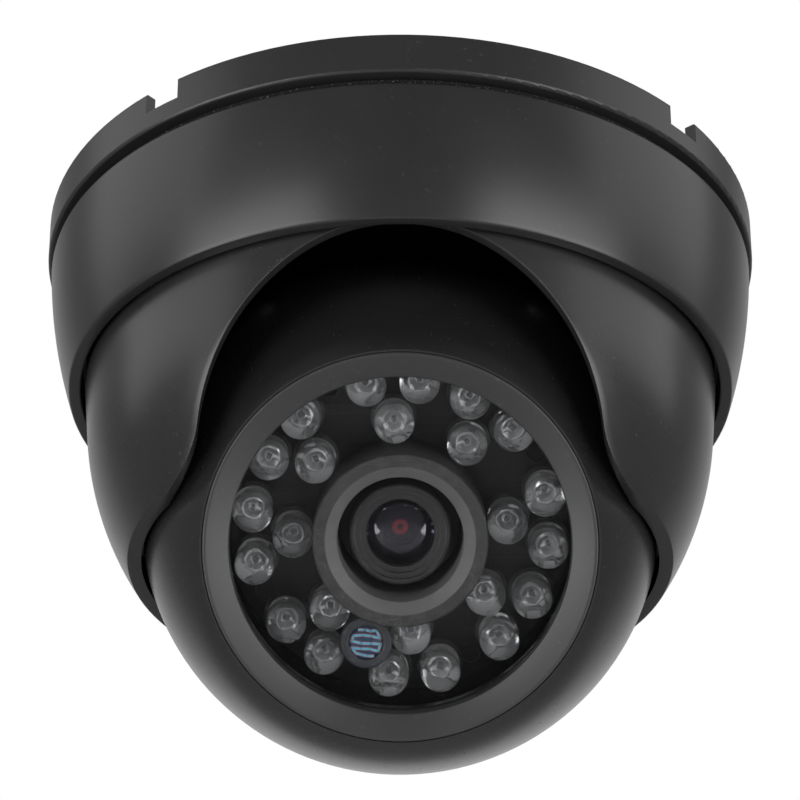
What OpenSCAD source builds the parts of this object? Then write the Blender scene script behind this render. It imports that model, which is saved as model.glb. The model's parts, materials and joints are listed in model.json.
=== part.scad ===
// Ceiling dome camera: a fixed base, a twist-on bell, a panning turret and a
// tilting eyeball that holds a turning camera module behind a round window.
// Millimetres. The origin is the centre of the ceiling face and +Z is up, so
// the camera hangs below it. At rest the lens looks towards -Y and down.

/* [Eyeball] */
// Outer radius of the eyeball
ball_r = 32.6; // [32:0.2:40]
// Wall of the eyeball shells
ball_wall = 2; // [1.4:0.1:2.6]
// Air between the top of the eyeball and the base
ball_top_gap = 2.7; // [2:0.1:8]
// Angle of the lens below the horizon at rest
lens_down = 40; // [15:1:85]
// Distance of the shell joint behind the tilt axis
split_back = 5; // [5:0.1:6]

/* [Window] */
// Outer radius of the bezel ring
bezel_r = 23.85; // [22.8:0.1:26]
// Width of the bezel ring's face
bezel_w = 3.25; // [2.4:0.1:4]
// Depth of the bezel's dished face
bezel_dish = 1.45; // [0.5:0.05:1.6]
// Thickness of the window glass
glass_t = 1.7; // [1:0.1:2.4]
// Depth of the glass below the bezel's inner lip
glass_recess = 1.5; // [0.8:0.1:2]

/* [Turret] */
// Wall of the turret shroud
turret_wall = 1.5; // [1.2:0.1:1.9]
// Room between the eyeball and the upper shroud
turret_room = 6.3; // [5.5:0.1:8]
// Distance of the shroud's lower lip below the tilt axis
lip_drop = 7.7; // [6:0.1:10]
// Gap between the eyeball and the lower lip
lip_gap = 0.58; // [0.4:0.02:1]
// Radius of the arch that the lens looks through
arch_r = 24.5; // [22:0.1:26]
// Height of the arch centre above the lower lip
arch_rise = 1.1; // [0:0.1:3]
// Radius of the flare where the arch meets the lip
flare_r = 6; // [4:0.1:7]

/* [Bell housing] */
// Height of the bell
bell_h = 17.5; // [14:0.1:24]
// Difference between the bell's top and bottom radius
bell_taper = 3.05; // [2:0.05:4]
// Radius of the bell's curved profile
bell_curve = 67.2; // [50:0.5:120]
// Wall of the bell
bell_wall = 1.6; // [1.4:0.1:1.8]
// Width of the bell's bottom face
bell_lip_w = 1.55; // [1.4:0.05:1.7]
// Gap between the bell's lip and the shroud
bell_lip_gap = 0.5; // [0.3:0.05:0.8]
// Height of the ledge that carries the turret
ledge_h = 4; // [3:0.1:5]

/* [Base] */
// How far the base rim stands out past the bell
base_step = 0.5; // [0.2:0.1:2]
// Height of the base rim
base_h = 5.6; // [5:0.1:8]
// Wall of the base rim
rim_wall = 1.6; // [1.4:0.1:3]
// Thickness of the base plate
plate_t = 1.5; // [1.2:0.1:1.8]
// Height of the dark groove under the rim
groove_h = 1.4; // [1:0.1:2]
// Depth of the dark groove under the rim
groove_in = 1.7; // [1:0.1:2.2]
// Width of each cable notch
notch_w = 5.3; // [3:0.1:8]
// Depth of each cable notch
notch_h = 3; // [1:0.1:3.4]
// Pitch circle of the ceiling screws
screw_pcd = 60; // [50:1:64]
// Radius of the ceiling screw holes
screw_hole_r = 2.2; // [1.5:0.1:3]
// Radius of the cable bore in the grommet
cable_r = 2.75; // [1.5:0.05:3.2]

/* [Camera module] */
// Outer radius of the LED board
board_r = 21.5; // [21.2:0.1:22.2]
// Thickness of both circuit boards
board_t = 1.6; // [1:0.1:1.8]
// Distance from the glass back to the LED board's face
board_depth = 13.5; // [13:0.1:14]
// Radius of the outer ring of LEDs
led_outer_r = 18.45; // [18.4:0.05:18.6]
// Radius of the inner ring of LEDs
led_inner_r = 13.3; // [13.25:0.05:13.3]
// Outer radius of the rubber lens hood
hood_r = 10.7; // [9.6:0.1:10.7]
// Side of the square sensor board
sensor_side = 32; // [31:0.5:32]
// Radius of the lens barrel's thread
barrel_r = 6; // [5:0.1:6.2]
// Radius of the tilt pins
pin_r = 2; // [1.4:0.1:2.2]

/* [Hidden] */
$fn = 96;
eps = 0.01;
run_fit = 0.06;            // radial clearance of a shaft or a turning rim
face_gap = 0.1;            // gap between flat faces that slide
ball_z = -(base_h + ball_top_gap + ball_r);

// Eyeball, measured along the lens axis from the tilt axis
bezel_s = sqrt(ball_r * ball_r - bezel_r * bezel_r);
front_land = 0.3;          // step from the bezel's edge down to the shell
front_s = bezel_s - front_land;
window_r = bezel_r - bezel_w;
bezel_in_s = bezel_s - bezel_dish;
glass_front = bezel_in_s - glass_recess;
glass_back = glass_front - glass_t;
seal_t = 0.6;
seat_s = glass_back - seal_t;
seat_t = 1.5;
seat_r = window_r + 0.3;
glass_r = bezel_r - 1.85;
glass_fit = 0.15;
pocket_r = glass_r + glass_fit;
skirt_gap = 0.05;
bezel_t = 1.55;
bezel_seat = bezel_s - bezel_t;
core_in = pocket_r + 1.4;
core_h = 3.4;
inner_r = ball_r - ball_wall;
split_s = -split_back;

// Shell screws, between the trunnions
shell_screws = [45, 135, 225, 315];
shell_screw_r = inner_r - 2.6;
screw_boss_r = 2.5;
thread_r = 1;
screw_clear = 0.15;
head_r = 1.9;
head_h = 1.4;
front_boss_l = 8;
rear_boss_l = 4.4;
screw_bite = 6;

// Turning seat of the camera module in the eyeball
flange_t = 1.5;
flange_r = inner_r - 6.1;
rib_in = flange_r - 1.5;
rib_t = 1.8;
flange_top = split_s - face_gap;
flange_bot = flange_top - flange_t;
seat_bot = flange_bot - face_gap;

// Trunnions
flat_x = ball_r - 0.7;
flat_r = sqrt(ball_r * ball_r - flat_x * flat_x);
washer_t = 1;
washer_r = flat_r - 1.4;
boss_face = flat_x + washer_t + face_gap;
turret_boss_r = 4.4;
ball_boss_r = 4.2;
ball_boss_in = flat_x - 4.9;
pin_in = ball_boss_in + 0.5;
pin_out = boss_face + 2.5;

// Turret shroud: a cylinder in the bell, then a slight cone that runs into a sphere round the axis
turret_in = ball_r + turret_room;
turret_r = turret_in + turret_wall;
bell_z0 = -(base_h + groove_h);
bell_z1 = bell_z0 - bell_h;
lip_z = ball_z - lip_drop;
lip_in = sqrt(ball_r * ball_r - lip_drop * lip_drop) + lip_gap;
turret_z0 = bell_z1 + 0.5;
globe_r = min(turret_in - 0.3, norm([lip_in, turret_z0 - 3.7 - lip_z]));
globe_z = lip_z + sqrt(globe_r * globe_r - lip_in * lip_in);
arch_z = lip_z + arch_rise;
flare_dip = 0.4;           // how far the flare's circle passes below the lip
flare_z = lip_z + flare_r - flare_dip;
flare_x = sqrt(pow(arch_r + flare_r - 0.05, 2) - pow(flare_z - arch_z, 2));
flare_join = arch_z + (flare_z - arch_z) * arch_r / (arch_r + flare_r);
arch_back = 5;             // the arch is cut from this far in front of the axis

// Bell: its lip clears the shroud and its curve joins two radii
lip_r = turret_r + bell_lip_gap;
bell_r1 = lip_r + bell_lip_w;
bell_r0 = bell_r1 + bell_taper;
chord = [bell_r0 - bell_r1, bell_z0 - bell_z1];
chord_l = norm(chord);
bell_mid = [(bell_r0 + bell_r1) / 2, (bell_z0 + bell_z1) / 2];
bell_reach = sqrt(bell_curve * bell_curve - chord_l * chord_l / 4);
bell_c = [bell_mid[0] - bell_reach * chord[1] / chord_l,
          bell_mid[1] + bell_reach * chord[0] / chord_l];
ledge_z = bell_z1 + ledge_h;
turret_flange_r = turret_r + 1.3;
turret_flange_t = 1.6;
flange_z0 = ledge_z + face_gap;
flange_z1 = flange_z0 + turret_flange_t;
bore_r = turret_flange_r + run_fit;
bore_z = flange_z1 + 0.2;
function bell_at(z) = bell_c[0] + sqrt(pow(bell_curve, 2) - pow(z - bell_c[1], 2));

// Pan stop: one block in the bell and one tab on the turret
stop_angle = 6;
stop_h = 2.2;
stop_in = turret_flange_r - 0.95;
pass_turn = 13;            // the flange's pass notch, beside its tab
pass_angle = 10;

// Base collar with bayonet lugs, and the bell's tabs above them
base_r = bell_r0 + base_step;
ring_gap = 0.6;
ring_t = 0.6;
collar_r = stop_in - 0.15;
collar_wall = 1.8;
lug_ring_r = turret_flange_r + 0.3;
collar_z = flange_z1 + ring_gap + 0.2;
lug_angle = 18;
lug_start = 60;
lug_turn = 120;
lug_z = bell_z0 - 4;
lug_t = 2;
lug_r = bell_at(lug_z - lug_t) - bell_wall - 0.5;
tab_z = lug_z + face_gap;
tab_r = lug_ring_r + run_fit;
notch_turn = 50.2;
rim_round = 0.4;
pad_r = 5;
gasket_w = 1.5;
groove_r = base_r - groove_in;
gasket_gap = 0.15;

// Grommet
neck_r = cable_r + 1.6;
grommet_r = neck_r + 1.6;
grommet_t = 0.9;

// Camera module
board_s = glass_back - board_depth;
board_back = board_s - board_t;
board_hole = 8.2;
led_r = 2.5;
led_flange_r = 2.9;
led_flange_t = 1;
led_h = 8.6;
quad_start = 62.5;         // clock angle of the first board pin
quads = [0, 1, 2, 3];
ldr_quad = 1;
outer_even = [14, 34.7, 55.3, 76];
outer_wide = [12, 31.9, 58.1, 78];
inner_even = [24, 66];
inner_wide = [21.95, 68.05];
ldr_r = 14;
ldr_clock = quad_start + 90 * ldr_quad + 45;
ldr_face_r = 2.1;
ldr_top = 9.9;
ldr_h = 2.2;
sleeve_r = 2.85;
sleeve_top_r = 3.2;
sleeve_top = ldr_top + 0.3;
sleeve_foot = led_flange_t + 0.4;
sleeve_flare = [6.5, 8.5];
lead_at = 1.27;
lead_r = 0.3;
board_pin_r = 1.15;
board_pin_at = 19.1;
board_pin_fit = 0.05;
post_r = 2;
carrier_in = 16.5;
hood_gap = 0.05;
hood_land = 1.55;
hood_slope = 1.45;
hood_base_r = hood_r - 0.5;
hood_in = hood_r - hood_land - hood_slope;
hood_chamfer = 1.1;
sensor_s = flange_bot - 4.4;
sensor_back = sensor_s - board_t;
standoff_at = 14;
standoff_r = 2;
stud_r = 0.9;
stud_l = 1.2;
holder_r = barrel_r + 1.3;
holder_base = 16;
holder_base_t = 2.6;
holder_top = board_s + 2.5;
ear_at = 10.6;
ear_w = 5;
pocket = 11;
pocket_h = 1.8;
filter_side = 9;
filter_t = 0.55;
chip = [10, 8.5, 1];
led_socket = [8, 4.6, 5];
led_socket_at = 12.6;
power_socket = [12.5, 5, 5.5];
power_socket_at = 10.5;
socket_wall = 0.8;
socket_floor = 1;
light_hole_r = 4.3;
barrel_top = board_s + 9;
barrel_head_r = barrel_r + 0.3;
barrel_head_l = 4;
barrel_bot = sensor_s + 6;
iris_r = 2.4;
step_r = [5.6, 4.9];       // stepped rings in the barrel's head
step_h = 0.5;
glass_seat = 4.2;
seat_z = barrel_top - 3.4;
crown_z = barrel_top - 1.3;
lens_dome = 9;
rear_glass_in = 0.6;
rear_glass_t = 1.8;

// Moves children from the lens frame (+Z along the lens) to their place
module on_lens() {
  translate([0, 0, ball_z]) rotate([90 + lens_down, 0, 0]) children();
}

// Places children at a clock angle, seen from in front of the lens
module at_clock(angle, r) {
  rotate([0, 0, -angle]) translate([0, r, 0]) children();
}

// Cylinder between two heights
module rod(r, z0, z1, rt = 0) {
  translate([0, 0, z0]) cylinder(r1 = r, r2 = rt > 0 ? rt : r, h = z1 - z0);
}

// Rectangle of a ring's cross-section, from radius a to b and height c to d
module band(a, b, c, d) {
  translate([a, c]) square([b - a, d - c]);
}

// The same with round corners of radius f
module soft_band(a, b, c, d, f) {
  band(a + f, b - f, c, d);
  band(a, b, c + f, d - f);
  for (x = [a + f, b - f], y = [c + f, d - f]) translate([x, y]) circle(r = f, $fn = 32);
}

// Arc-shaped block of a ring, centred on an angle
module ring_block(angle, width, a, b, c, d) {
  rotate([0, 0, angle - width / 2]) rotate_extrude(angle = width) band(a, b, c, d);
}

// Cylinder along X on both sides, from |x| = a to b
module side_rods(r, a, b) {
  for (side = [-1, 1]) rotate([0, side * 90, 0]) rod(r, a, b);
}

module mount_base() color("#232326") {
  difference() {
    union() {
      rotate_extrude() difference() {
        intersection() {
          soft_band(-base_r, base_r, -base_h, 0, rim_round);
          band(0, base_r, -base_h, 0);
        }
        band(0, base_r - rim_wall, plate_t - base_h, 1);
      }
      rotate_extrude() {
        band(collar_r - collar_wall, collar_r, collar_z, plate_t / 2 - base_h);
        band(collar_r - collar_wall, lug_ring_r, lug_z - lug_t, plate_t / 2 - base_h);
      }
      for (k = [0:2]) rotate([0, 0, 90 + 120 * k]) translate([screw_pcd / 2, 0, 0])
        rod(pad_r, plate_t / 2 - base_h, 0);
      for (k = [0:2]) ring_block(lug_start + lug_turn * k, lug_angle, collar_r, lug_r,
        lug_z - lug_t, lug_z);
    }
    rod(neck_r, -base_h - 1, 1);
    for (k = [0:2]) rotate([0, 0, 90 + 120 * k]) translate([screw_pcd / 2, 0, 0])
      rod(screw_hole_r, -base_h - 1, 1);
    for (k = [0:3]) rotate([0, 0, notch_turn + 90 * k])
      translate([base_r - rim_wall - 1, -notch_w / 2, -notch_h])
        cube([rim_wall + 2, notch_w, notch_h + 1]);
  }
}

module cable_grommet() color("#141414") {
  rotate_extrude() {
    band(cable_r, neck_r, -base_h - grommet_t, plate_t - base_h + grommet_t);
    band(cable_r, grommet_r, -base_h - grommet_t, -base_h);
    band(cable_r, grommet_r, plate_t - base_h, plate_t - base_h + grommet_t);
  }
}

module base_gasket() color("#0f0f10") {
  rotate_extrude() band(groove_r - gasket_w, groove_r, bell_z0 + gasket_gap, -base_h);
}

module pan_friction_ring() color("#101010") {
  rotate_extrude()
    soft_band(collar_r - collar_wall + 0.1, collar_r - 0.1, collar_z - ring_t, collar_z, 0.2);
}

module bell_housing() color("#2c2c30") {
  difference() {
    rotate_extrude() intersection() {
      translate(bell_c) circle(r = bell_curve, $fn = 180);
      band(0, bell_r0 + 1, bell_z1, bell_z0);
    }
    rod(lip_r, bell_z1 - 1, ledge_z + eps);
    rod(bore_r, ledge_z, bore_z + eps);
    rotate_extrude() intersection() {
      translate(bell_c) circle(r = bell_curve - bell_wall, $fn = 180);
      band(0, bell_r0 + 1, bore_z, bell_z0 + 1);
    }
  }
  for (k = [0:2]) ring_block(lug_start + lug_turn * k, lug_angle, tab_r,
    bell_at(tab_z) - bell_wall / 2, tab_z, tab_z + lug_t);
  ring_block(90, stop_angle, stop_in, bell_at(bore_z) - bell_wall / 2, bore_z, bore_z + stop_h);
}

// Outline of the shroud's outer or inner surface, filled to the axis
module turret_outline(wall) {
  r = globe_r + wall;
  top = turret_in + wall;
  drop = turret_z0 - globe_z;
  turn = atan(drop / top) - acos(r / norm([top, drop]));
  join = [r * cos(turn), globe_z + r * sin(turn)];
  intersection() {
    translate([0, globe_z]) circle(r = r, $fn = 180);
    band(0, r + 1, lip_z, join[1]);
  }
  polygon([[0, join[1]], join, [top, turret_z0], [0, turret_z0]]);
  band(0, top, turret_z0, flange_z1);
}

// The arch that opens the front, drawn in the XZ plane
module arch_outline() {
  translate([0, arch_z]) circle(r = arch_r);
  difference() {
    band(-flare_x, flare_x, lip_z - 1, flare_join);
    for (side = [-1, 1]) translate([side * flare_x, flare_z]) circle(r = flare_r);
  }
}

module turret_shroud() color("#2a2a2e") {
  difference() {
    union() {
      rotate([0, 0, 90]) rotate_extrude() difference() {
        union() {
          turret_outline(turret_wall);
          band(turret_in, turret_flange_r, flange_z0, flange_z1);
        }
        translate([0, -eps]) turret_outline(0);
        band(0, turret_in, flange_z0 - 1, flange_z1 + 1);
      }
      intersection() {
        translate([0, 0, ball_z]) side_rods(turret_boss_r, boss_face, turret_r);
        rotate([0, 0, 90]) rotate_extrude() turret_outline(turret_wall / 2);
      }
      ring_block(-90, stop_angle, stop_in, turret_flange_r - 0.1, flange_z1 - 0.5,
        flange_z1 + stop_h);
    }
    translate([0, -arch_back, 0]) rotate([90, 0, 0]) linear_extrude(turret_r) arch_outline();
    translate([0, 0, ball_z]) side_rods(pin_r, boss_face - 1, pin_out);
    ring_block(pass_turn - 90, pass_angle, stop_in - 0.1, turret_flange_r + 1,
      flange_z0 - 0.5, flange_z1 + 0.5);
  }
}

module trunnion_pins() color("#b9bcc0") {
  translate([0, 0, ball_z]) side_rods(pin_r, pin_in, pin_out);
}

module tilt_washers() color("#3a3a3c") {
  translate([0, 0, ball_z]) difference() {
    side_rods(washer_r, flat_x + face_gap / 2, flat_x + face_gap / 2 + washer_t);
    side_rods(pin_r + run_fit, flat_x - 1, boss_face + 1);
  }
}

module eyeball_front() color("#1b1b1d") on_lens() {
  difference() {
    union() {
      rotate_extrude() difference() {
        intersection() {
          circle(r = ball_r, $fn = 180);
          band(0, ball_r, split_s, front_s);
        }
        intersection() {
          circle(r = inner_r, $fn = 180);
          band(0, ball_r, split_s + rib_t, seat_s - seat_t);
        }
        band(core_in, sqrt(pow(inner_r, 2) - pow(seat_s, 2)), seat_s - seat_t - 1,
          seat_s - seat_t + core_h);
        band(0, rib_in, split_s - 1, split_s + rib_t + 1);
        band(0, seat_r, seat_s - seat_t - 1, seat_s + 1);
        band(0, pocket_r, seat_s, front_s + 1);
        band(0, bezel_r + skirt_gap, bezel_seat, front_s + 1);
      }
      side_rods(ball_boss_r, ball_boss_in, inner_r);
      for (a = shell_screws) at_clock(a, shell_screw_r)
        rod(screw_boss_r, split_s, split_s + front_boss_l);
    }
    side_rods(flat_r + 1, flat_x, ball_r + 1);
    side_rods(pin_r + run_fit, ball_boss_in - 1, ball_r);
    for (a = shell_screws) at_clock(a, shell_screw_r)
      rod(thread_r, split_s - 1, split_s + screw_bite);
  }
}

module eyeball_rear() color("#1b1b1d") on_lens() {
  difference() {
    union() {
      rotate_extrude() difference() {
        intersection() {
          circle(r = ball_r, $fn = 180);
          band(0, ball_r, -ball_r, split_s);
        }
        intersection() {
          circle(r = inner_r, $fn = 180);
          band(0, ball_r, -ball_r, seat_bot - rib_t);
        }
        band(0, flange_r + run_fit, seat_bot, split_s + 1);
        band(0, rib_in, seat_bot - rib_t - 1, seat_bot + 1);
      }
      for (a = shell_screws) at_clock(a, shell_screw_r)
        rod(screw_boss_r, split_s - rear_boss_l - 2, split_s);
    }
    for (a = shell_screws) at_clock(a, shell_screw_r) {
      rod(thread_r + screw_clear, split_s - rear_boss_l - 1, split_s + 1);
      rod(head_r + screw_clear, -ball_r, split_s - rear_boss_l);
    }
    side_rods(flat_r + 1, flat_x, ball_r + 1);
    rod(neck_r, -ball_r - 1, -inner_r + 2);
  }
}

module eyeball_screws() color("#8d9095") on_lens() {
  for (a = shell_screws) at_clock(a, shell_screw_r) {
    rod(thread_r, split_s - rear_boss_l - eps, split_s + screw_bite - 0.5);
    difference() {
      rod(head_r, split_s - rear_boss_l - head_h, split_s - rear_boss_l);
      for (turn = [0, 90]) rotate([0, 0, turn])
        translate([-head_r / 2, -0.25, split_s - rear_boss_l - head_h - 1])
          cube([head_r, 0.5, 1.7]);
    }
  }
}

module bezel_ring() color("#3a3a3e") on_lens() {
  rotate_extrude() polygon([
    [window_r, glass_front], [window_r, bezel_in_s], [bezel_r, bezel_s],
    [bezel_r, bezel_seat], [pocket_r - skirt_gap, bezel_seat],
    [pocket_r - skirt_gap, glass_front]]);
}

module window_glass() color([0.75, 0.8, 0.85, 0.25]) on_lens() {
  rod(glass_r, glass_back, glass_front);
}

module window_seal() color("#0d0d0d") on_lens() {
  rotate_extrude() band(seat_r + 0.1, glass_r, seat_s, glass_back);
}

module module_carrier() color("#26262a") on_lens() {
  difference() {
    union() {
      rotate_extrude() band(carrier_in, flange_r, flange_bot, flange_top);
      for (q = quads) at_clock(quad_start + 90 * q, board_pin_at) {
        rod(post_r, flange_bot, board_back);
        rod(board_pin_r, board_back - eps, board_s - 0.2);
      }
    }
    for (x = [-1, 1], y = [-1, 1]) translate([x * standoff_at, y * standoff_at, 0])
      rod(stud_r, flange_bot - 1, flange_bot + stud_l);
  }
}

module led_board() color("#10130f") on_lens() {
  difference() {
    rod(board_r, board_back, board_s);
    rod(board_hole, board_back - 1, board_s + 1);
    for (q = quads) at_clock(quad_start + 90 * q, board_pin_at)
      rod(board_pin_r + board_pin_fit, board_back - 1, board_s + 1);
  }
}

// One clear round-top LED standing on the board
module led() {
  translate([0, 0, board_s]) {
    rod(led_flange_r, 0, led_flange_t);
    rod(led_r, 0, led_h - led_r);
    intersection() {
      translate([0, 0, led_h - led_r]) sphere(r = led_r, $fn = 48);
      rod(led_r + 1, led_h - led_r - eps, led_h + 1);
    }
  }
}

module ir_leds_outer() color([0.85, 0.88, 0.95, 0.6]) on_lens() {
  for (q = quads, a = q == ldr_quad ? outer_wide : outer_even)
    at_clock(quad_start + 90 * q + a, led_outer_r) led();
}

module ir_leds_inner() color([0.85, 0.88, 0.95, 0.6]) on_lens() {
  for (q = quads, a = q == ldr_quad ? inner_wide : inner_even)
    at_clock(quad_start + 90 * q + a, led_inner_r) led();
}

module ldr_sensor() color("#3a55a8") on_lens() at_clock(ldr_clock, ldr_r) {
  rod(ldr_face_r, board_s + ldr_top - ldr_h, board_s + ldr_top);
  for (x = [-1, 1]) translate([x * lead_at, 0, 0])
    rod(lead_r, board_s, board_s + ldr_top - ldr_h + eps);
}

module ldr_sleeve() color("#46474b") on_lens() at_clock(ldr_clock, ldr_r) {
  translate([0, 0, board_s]) rotate_extrude() polygon([
    [ldr_face_r, sleeve_foot], [sleeve_r, sleeve_foot],
    [sleeve_r, sleeve_flare[0]], [sleeve_top_r, sleeve_flare[1]],
    [sleeve_top_r, sleeve_top], [ldr_face_r, sleeve_top]]);
}

module lens_hood() color("#161616") on_lens() {
  rotate_extrude() polygon([
    [hood_in, board_s], [hood_base_r, board_s],
    [hood_base_r, board_s + led_flange_t + 0.3], [hood_r, board_s + led_flange_t + 0.8],
    [hood_r, glass_back - hood_gap], [hood_r - hood_land, glass_back - hood_gap],
    [hood_in, glass_back - hood_gap - hood_chamfer]]);
}

module lens_barrel() color("#18181a") on_lens() {
  rotate_extrude() polygon([
    [iris_r, barrel_bot], [barrel_r, barrel_bot],
    [barrel_r, barrel_top - barrel_head_l], [barrel_head_r, barrel_top - barrel_head_l],
    [barrel_head_r, barrel_top], [step_r[0], barrel_top], [step_r[0], barrel_top - step_h],
    [step_r[1], barrel_top - step_h], [step_r[1], barrel_top - 2 * step_h],
    [glass_seat, barrel_top - 2 * step_h], [glass_seat, seat_z], [iris_r, seat_z]]);
}

module lens_front_glass() color([0.5, 0.55, 0.75, 0.5]) on_lens() {
  rotate_extrude() intersection() {
    translate([0, crown_z - lens_dome]) circle(r = lens_dome, $fn = 180);
    band(0, glass_seat, seat_z, barrel_top);
  }
}

module lens_rear_glass() color([0.5, 0.55, 0.75, 0.5]) on_lens() {
  rod(iris_r, barrel_bot + rear_glass_in, barrel_bot + rear_glass_in + rear_glass_t);
}

module lens_holder() color("#1f1f22") on_lens() {
  difference() {
    union() {
      rod(holder_r, sensor_s + holder_base_t - eps, holder_top);
      translate([-holder_base / 2, -holder_base / 2, sensor_s])
        cube([holder_base, holder_base, holder_base_t]);
      translate([-ear_at - ear_w / 2, -ear_w / 2, sensor_s])
        cube([2 * ear_at + ear_w, ear_w, holder_base_t]);
    }
    rod(barrel_r, sensor_s + holder_base_t, holder_top + 1);
    rod(light_hole_r, sensor_s, holder_top);
    translate([-pocket / 2, -pocket / 2, sensor_s - 1])
      cube([pocket, pocket, pocket_h + 1]);
    for (side = [-1, 1]) translate([side * ear_at, 0, 0])
      rod(stud_r, sensor_s - 1, sensor_s + 2);
  }
}

module holder_screws() color("#8d9095") on_lens() {
  for (side = [-1, 1]) translate([side * ear_at, 0, 0]) {
    rod(stud_r, sensor_back - eps, sensor_s + 1.8);
    rod(head_r * 0.9, sensor_back - 1.1, sensor_back);
  }
}

module ir_cut_filter() color([0.8, 0.45, 0.5, 0.5]) on_lens() {
  translate([-filter_side / 2, -filter_side / 2, sensor_s + pocket_h - filter_t])
    cube([filter_side, filter_side, filter_t]);
}

module image_sensor() color("#4a4238") on_lens() {
  translate([-chip[0] / 2, -chip[1] / 2, sensor_s]) cube(chip);
}

module sensor_board() color("#0f3a22") on_lens() {
  difference() {
    translate([-sensor_side / 2, -sensor_side / 2, sensor_back])
      cube([sensor_side, sensor_side, board_t]);
    for (x = [-1, 1], y = [-1, 1]) translate([x * standoff_at, y * standoff_at, 0])
      rod(stud_r, sensor_back - 1, sensor_s + 1);
    for (side = [-1, 1]) translate([side * ear_at, 0, 0])
      rod(stud_r, sensor_back - 1, sensor_s + 1);
  }
}

module board_standoffs() color("#c2a24a") on_lens() {
  for (x = [-1, 1], y = [-1, 1]) translate([x * standoff_at, y * standoff_at, 0])
    difference() {
      union() {
        translate([0, 0, sensor_s]) cylinder(r = standoff_r, h = flange_bot - sensor_s, $fn = 6);
        rod(stud_r, flange_bot - eps, flange_bot + stud_l);
      }
      rod(stud_r, sensor_s - 1, sensor_s + 2.6);
    }
}

module board_screws() color("#8d9095") on_lens() {
  for (x = [-1, 1], y = [-1, 1]) translate([x * standoff_at, y * standoff_at, 0]) {
    rod(stud_r, sensor_back - eps, sensor_s + 2.4);
    rod(head_r * 0.9, sensor_back - 1.1, sensor_back);
  }
}

// White board connector with an open mouth at its back
module socket(size, back) {
  mouth = size - 2 * [socket_wall, socket_wall, 0];
  difference() {
    translate([-size[0] / 2, -size[1] / 2, back - size[2]]) cube(size);
    translate([-mouth[0] / 2, -mouth[1] / 2, back - size[2] - socket_floor]) cube(mouth);
  }
}

module led_connector() color("#e8e6dd") on_lens() {
  translate([0, -led_socket_at, 0]) socket(led_socket, board_back);
}

module power_connector() color("#e8e6dd") on_lens() {
  translate([0, -power_socket_at, 0]) socket(power_socket, sensor_back);
}

mount_base();
cable_grommet();
base_gasket();
pan_friction_ring();
bell_housing();
turret_shroud();
trunnion_pins();
tilt_washers();
eyeball_front();
eyeball_rear();
eyeball_screws();
bezel_ring();
window_glass();
window_seal();
module_carrier();
led_board();
ir_leds_outer();
ir_leds_inner();
ldr_sensor();
ldr_sleeve();
lens_hood();
lens_barrel();
lens_front_glass();
lens_rear_glass();
lens_holder();
holder_screws();
ir_cut_filter();
image_sensor();
sensor_board();
board_standoffs();
board_screws();
led_connector();
power_connector();
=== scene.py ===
import json
import math
import random

import bmesh
import bpy
from mathutils import Matrix, Vector


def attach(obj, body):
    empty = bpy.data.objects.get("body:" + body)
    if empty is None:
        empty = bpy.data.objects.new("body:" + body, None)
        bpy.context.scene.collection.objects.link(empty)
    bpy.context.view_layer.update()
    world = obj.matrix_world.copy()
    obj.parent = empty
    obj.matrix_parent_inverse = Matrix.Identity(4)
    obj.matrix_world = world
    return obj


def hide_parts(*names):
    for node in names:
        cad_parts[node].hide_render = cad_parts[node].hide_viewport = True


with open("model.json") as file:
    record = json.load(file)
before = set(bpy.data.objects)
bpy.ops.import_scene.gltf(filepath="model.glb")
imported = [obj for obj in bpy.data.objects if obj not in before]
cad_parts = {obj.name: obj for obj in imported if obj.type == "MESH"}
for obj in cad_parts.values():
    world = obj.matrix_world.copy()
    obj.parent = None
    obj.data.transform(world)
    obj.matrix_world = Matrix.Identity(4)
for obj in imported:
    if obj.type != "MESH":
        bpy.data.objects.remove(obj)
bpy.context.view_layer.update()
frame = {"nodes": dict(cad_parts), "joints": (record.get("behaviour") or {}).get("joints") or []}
print("frame loaded:", len(frame["nodes"]), "nodes")

mm = 0.001
random.seed(24)

joints = {j["name"]: j for j in frame["joints"]}
ballCentre = Vector(joints["tilt"]["pos_m"])
lensAxis = Vector(joints["roll"]["axis"])
lensTurn = math.atan2(-lensAxis.y, lensAxis.z)                       # turns +Z onto the lens axis
lensPlace = Matrix.Translation(ballCentre) @ Matrix.Rotation(lensTurn, 4, "X")
upright = Matrix.Identity(4)


def span(node, place=upright):  # lowest and highest corner of a node in mm, in a piece's own frame
    back = place.inverted()
    points = [back @ v.co for v in frame["nodes"][node].data.vertices]
    low = Vector([min(p[i] for p in points) for i in range(3)])
    high = Vector([max(p[i] for p in points) for i in range(3)])
    return low / mm, high / mm


# The camera, the lamps and the room round the part

camera = {"place": (0, -0.391, -0.2607), "rise": 31.19, "lens": 160.1, "sensor": 36, "shift": -0.0004}
studio = {"behind": 0.9, "front": 0.2, "fade": (0.6, 0.95), "camera": 1.0, "floorDrop": 0.75,
          "floorSize": 8}
softboxes = [
    {"name": "softboxRight", "place": (0.86, -0.80, -0.10), "size": (1.0, 0.42), "power": 6.0},
    {"name": "softboxLeft", "place": (-0.86, -0.80, -0.10), "size": (1.0, 0.42), "power": 6.0},
    {"name": "sideRight", "place": (0.88, -0.08, 0.45), "size": (0.9, 0.55), "power": 1.6},
    {"name": "sideLeft", "place": (-0.88, -0.08, 0.45), "size": (0.9, 0.55), "power": 1.6},
    {"name": "lowRight", "place": (0.74, -0.41, -0.58), "size": (0.45, 0.45), "power": 3.3},
    {"name": "lowLeft", "place": (-0.74, -0.41, -0.58), "size": (0.45, 0.45), "power": 3.3},
]


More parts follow.
